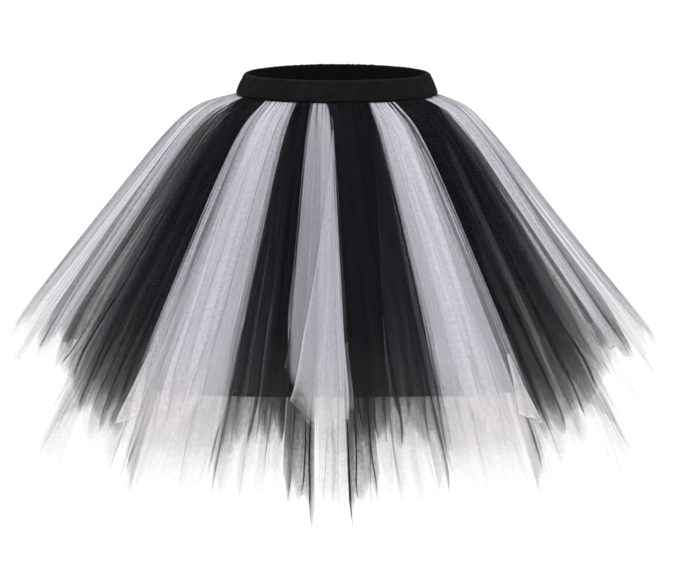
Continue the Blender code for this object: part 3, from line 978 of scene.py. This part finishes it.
# %% Lining tube
LINING_TUCK = 0.005
LINING_NECK = 0.008
LINING_DROP = 0.356
LINING_HEM_HALF_WIDTH = 0.222
LINING_HEM_HALF_DEPTH = 0.100
LINING_HALF_WALL = 0.0006
LINING_RISE = 0.006           # the hem sits this much higher at the front and back
LINING_GAP = 0.0003           # between the casing and the lining tucked inside it
FLUTE_DEPTH = 0.0012
TURN_UP = 0.012
TURN_GAP = 0.0007             # how far inside the lining its turned-up hem lies
CREASE_SHARE, CREASE_GAP = 0.002, 0.0005
LINING_COLUMNS = 240
LINING_ROWS = 40

tucked = BAND_WALL + LINING_GAP + LINING_HALF_WALL
angle = np.linspace(0, 2 * pi, LINING_COLUMNS, endpoint=False)
neck_width = WAIST_HALF_WIDTH + BAND_LEAN - tucked
neck_depth = WAIST_HALF_DEPTH + BAND_LEAN - tucked
hem_width = LINING_HEM_HALF_WIDTH - LINING_HALF_WALL
hem_depth = LINING_HEM_HALF_DEPTH - LINING_HALF_WALL
flutes = np.sin(9 * angle + 0.8 * np.sin(2 * angle)) + 0.5 * np.sin(14 * angle + 1.0)


def lining_ring(share, inset):
    """A ring of the lining from its neck, 0, to its hem, 1."""
    swell = FLUTE_DEPTH * share * flutes - inset
    width = neck_width + (hem_width - neck_width) * share + swell
    depth = neck_depth + (hem_depth - neck_depth) * share + swell
    fall = LINING_DROP - LINING_NECK - LINING_RISE * np.cos(angle) ** 2
    height = BAND_FOOT - LINING_NECK - fall * share
    return np.stack([width * np.sin(angle), -depth * np.cos(angle), height], axis=-1)


rings = [waist_points(angle, tucked, BAND_FOOT + LINING_TUCK)]
rings += [lining_ring(share, 0) for share in np.linspace(0, 1, LINING_ROWS)]
turn_share = TURN_UP / (LINING_DROP - LINING_NECK)
rings += [lining_ring(1 - CREASE_SHARE, CREASE_GAP), lining_ring(1 - turn_share, TURN_GAP)]
lining, along = add_tube("slip_lining", rings, 1, LINING_CLOTH)
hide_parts("lining")
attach(lining, ROOT)

# %% [markdown]
# ## Waistband
# The casing is a strip of cloth much longer than the elastic inside it, so it
# puckers into fine upright gathers. Its section is a flat loop with round
# edges. The gathers stand out on the band's face and die away at its two edges.

# %% Waistband casing
GATHERS = 118
GATHER_HEIGHT = 0.0017
RUFFLE = 0.0009               # how far the gathers reach past the band's edges
BAND_PINCH = 0.0026           # the elastic draws the top in by this much
BACK_RISE = 0.0028            # the casing stands up a little more at the back
BAND_COLUMNS = 1560
FACE_ROWS = 17
EDGE_ROUND = 0.0016
SEAM_HEIGHT = 0.004           # the gathers are full this far from the band's edges
SEAM_GATHERS = 0.25           # share of the gathers left at the edges and on the inside
CASING_LENGTH = 0.95
WELD = 0.00001
INNER_FACE = (                # share of the band's height, and depth behind the outer face
    (0.02, BAND_WALL * 0.75), (0.10, BAND_WALL - 0.0002), (0.5, BAND_WALL - 0.0004),
    (0.90, BAND_WALL - 0.0002), (0.98, BAND_WALL * 0.75))

angle = np.linspace(0, 2 * pi, BAND_COLUMNS, endpoint=False)


def gathers(level):
    """How far the cloth is puckered out at a share of the band's height."""
    turn = angle / (2 * pi)
    random = np.random.default_rng(SEED + 1)
    shift = 0.9 * np.sin(31 * angle + 6 * level) + 0.7 * np.sin(47 * angle - 9 * level) * level
    coarse = np.abs(np.sin(uneven_phase(random, GATHERS, turn, 0.75) / 2 + shift * 0.5)) ** 0.8
    fine = np.abs(np.sin(uneven_phase(random, round(1.9 * GATHERS), turn, 0.6) / 2 - shift * 0.8))
    marks = 0.9999 * ((turn + 0.004 * np.sin(5 * level + 29 * angle)) % 1)
    high = np.clip(0.62 + 0.6 * smooth_noise(np.random.default_rng(SEED + 2), marks, 96), 0.1, 1.2)
    return GATHER_HEIGHT * (0.72 * coarse * high + 0.28 * fine * (1.2 - high))


section = []
for level in np.linspace(1, 0, FACE_ROWS):
    edge = min(level, 1 - level) * BAND_HEIGHT
    rounding = EDGE_ROUND * (1 - min(1, (edge / EDGE_ROUND) ** 0.5))
    section.append((level, rounding, min(1, SEAM_GATHERS + edge / SEAM_HEIGHT)))
section += [(level, depth, SEAM_GATHERS) for level, depth in INNER_FACE]
rings = []
for level, inset, share in section:
    outward = -1 if inset < BAND_WALL / 2 else 1
    ring_inset = inset + outward * (gathers(level) * share) + BAND_PINCH * level ** 2
    ring = waist_points(angle, ring_inset, BAND_FOOT + level * BAND_HEIGHT)
    ring[..., 2] += RUFFLE * (2 * level - 1) * (gathers(level) / GATHER_HEIGHT - 0.6)
    ring[..., 2] += BACK_RISE * level * (0.5 - 0.5 * np.cos(angle)) ** 2
    rings.append(ring)
rings.append(rings[0])
band, along = add_tube("waistband_casing", rings, CASING_LENGTH, CASING_CLOTH)
bpy.ops.object.select_all(action="DESELECT")
bpy.context.view_layer.objects.active = band
band.select_set(True)
bpy.ops.object.mode_set(mode="EDIT")
bpy.ops.mesh.select_all(action="SELECT")
bpy.ops.mesh.remove_doubles(threshold=WELD)
bpy.ops.object.mode_set(mode="OBJECT")
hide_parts("waistband")
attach(band, ROOT)
band_area = sum(face.area for face in band.data.polygons)
print("band area", round(band_area, 4), "m2")
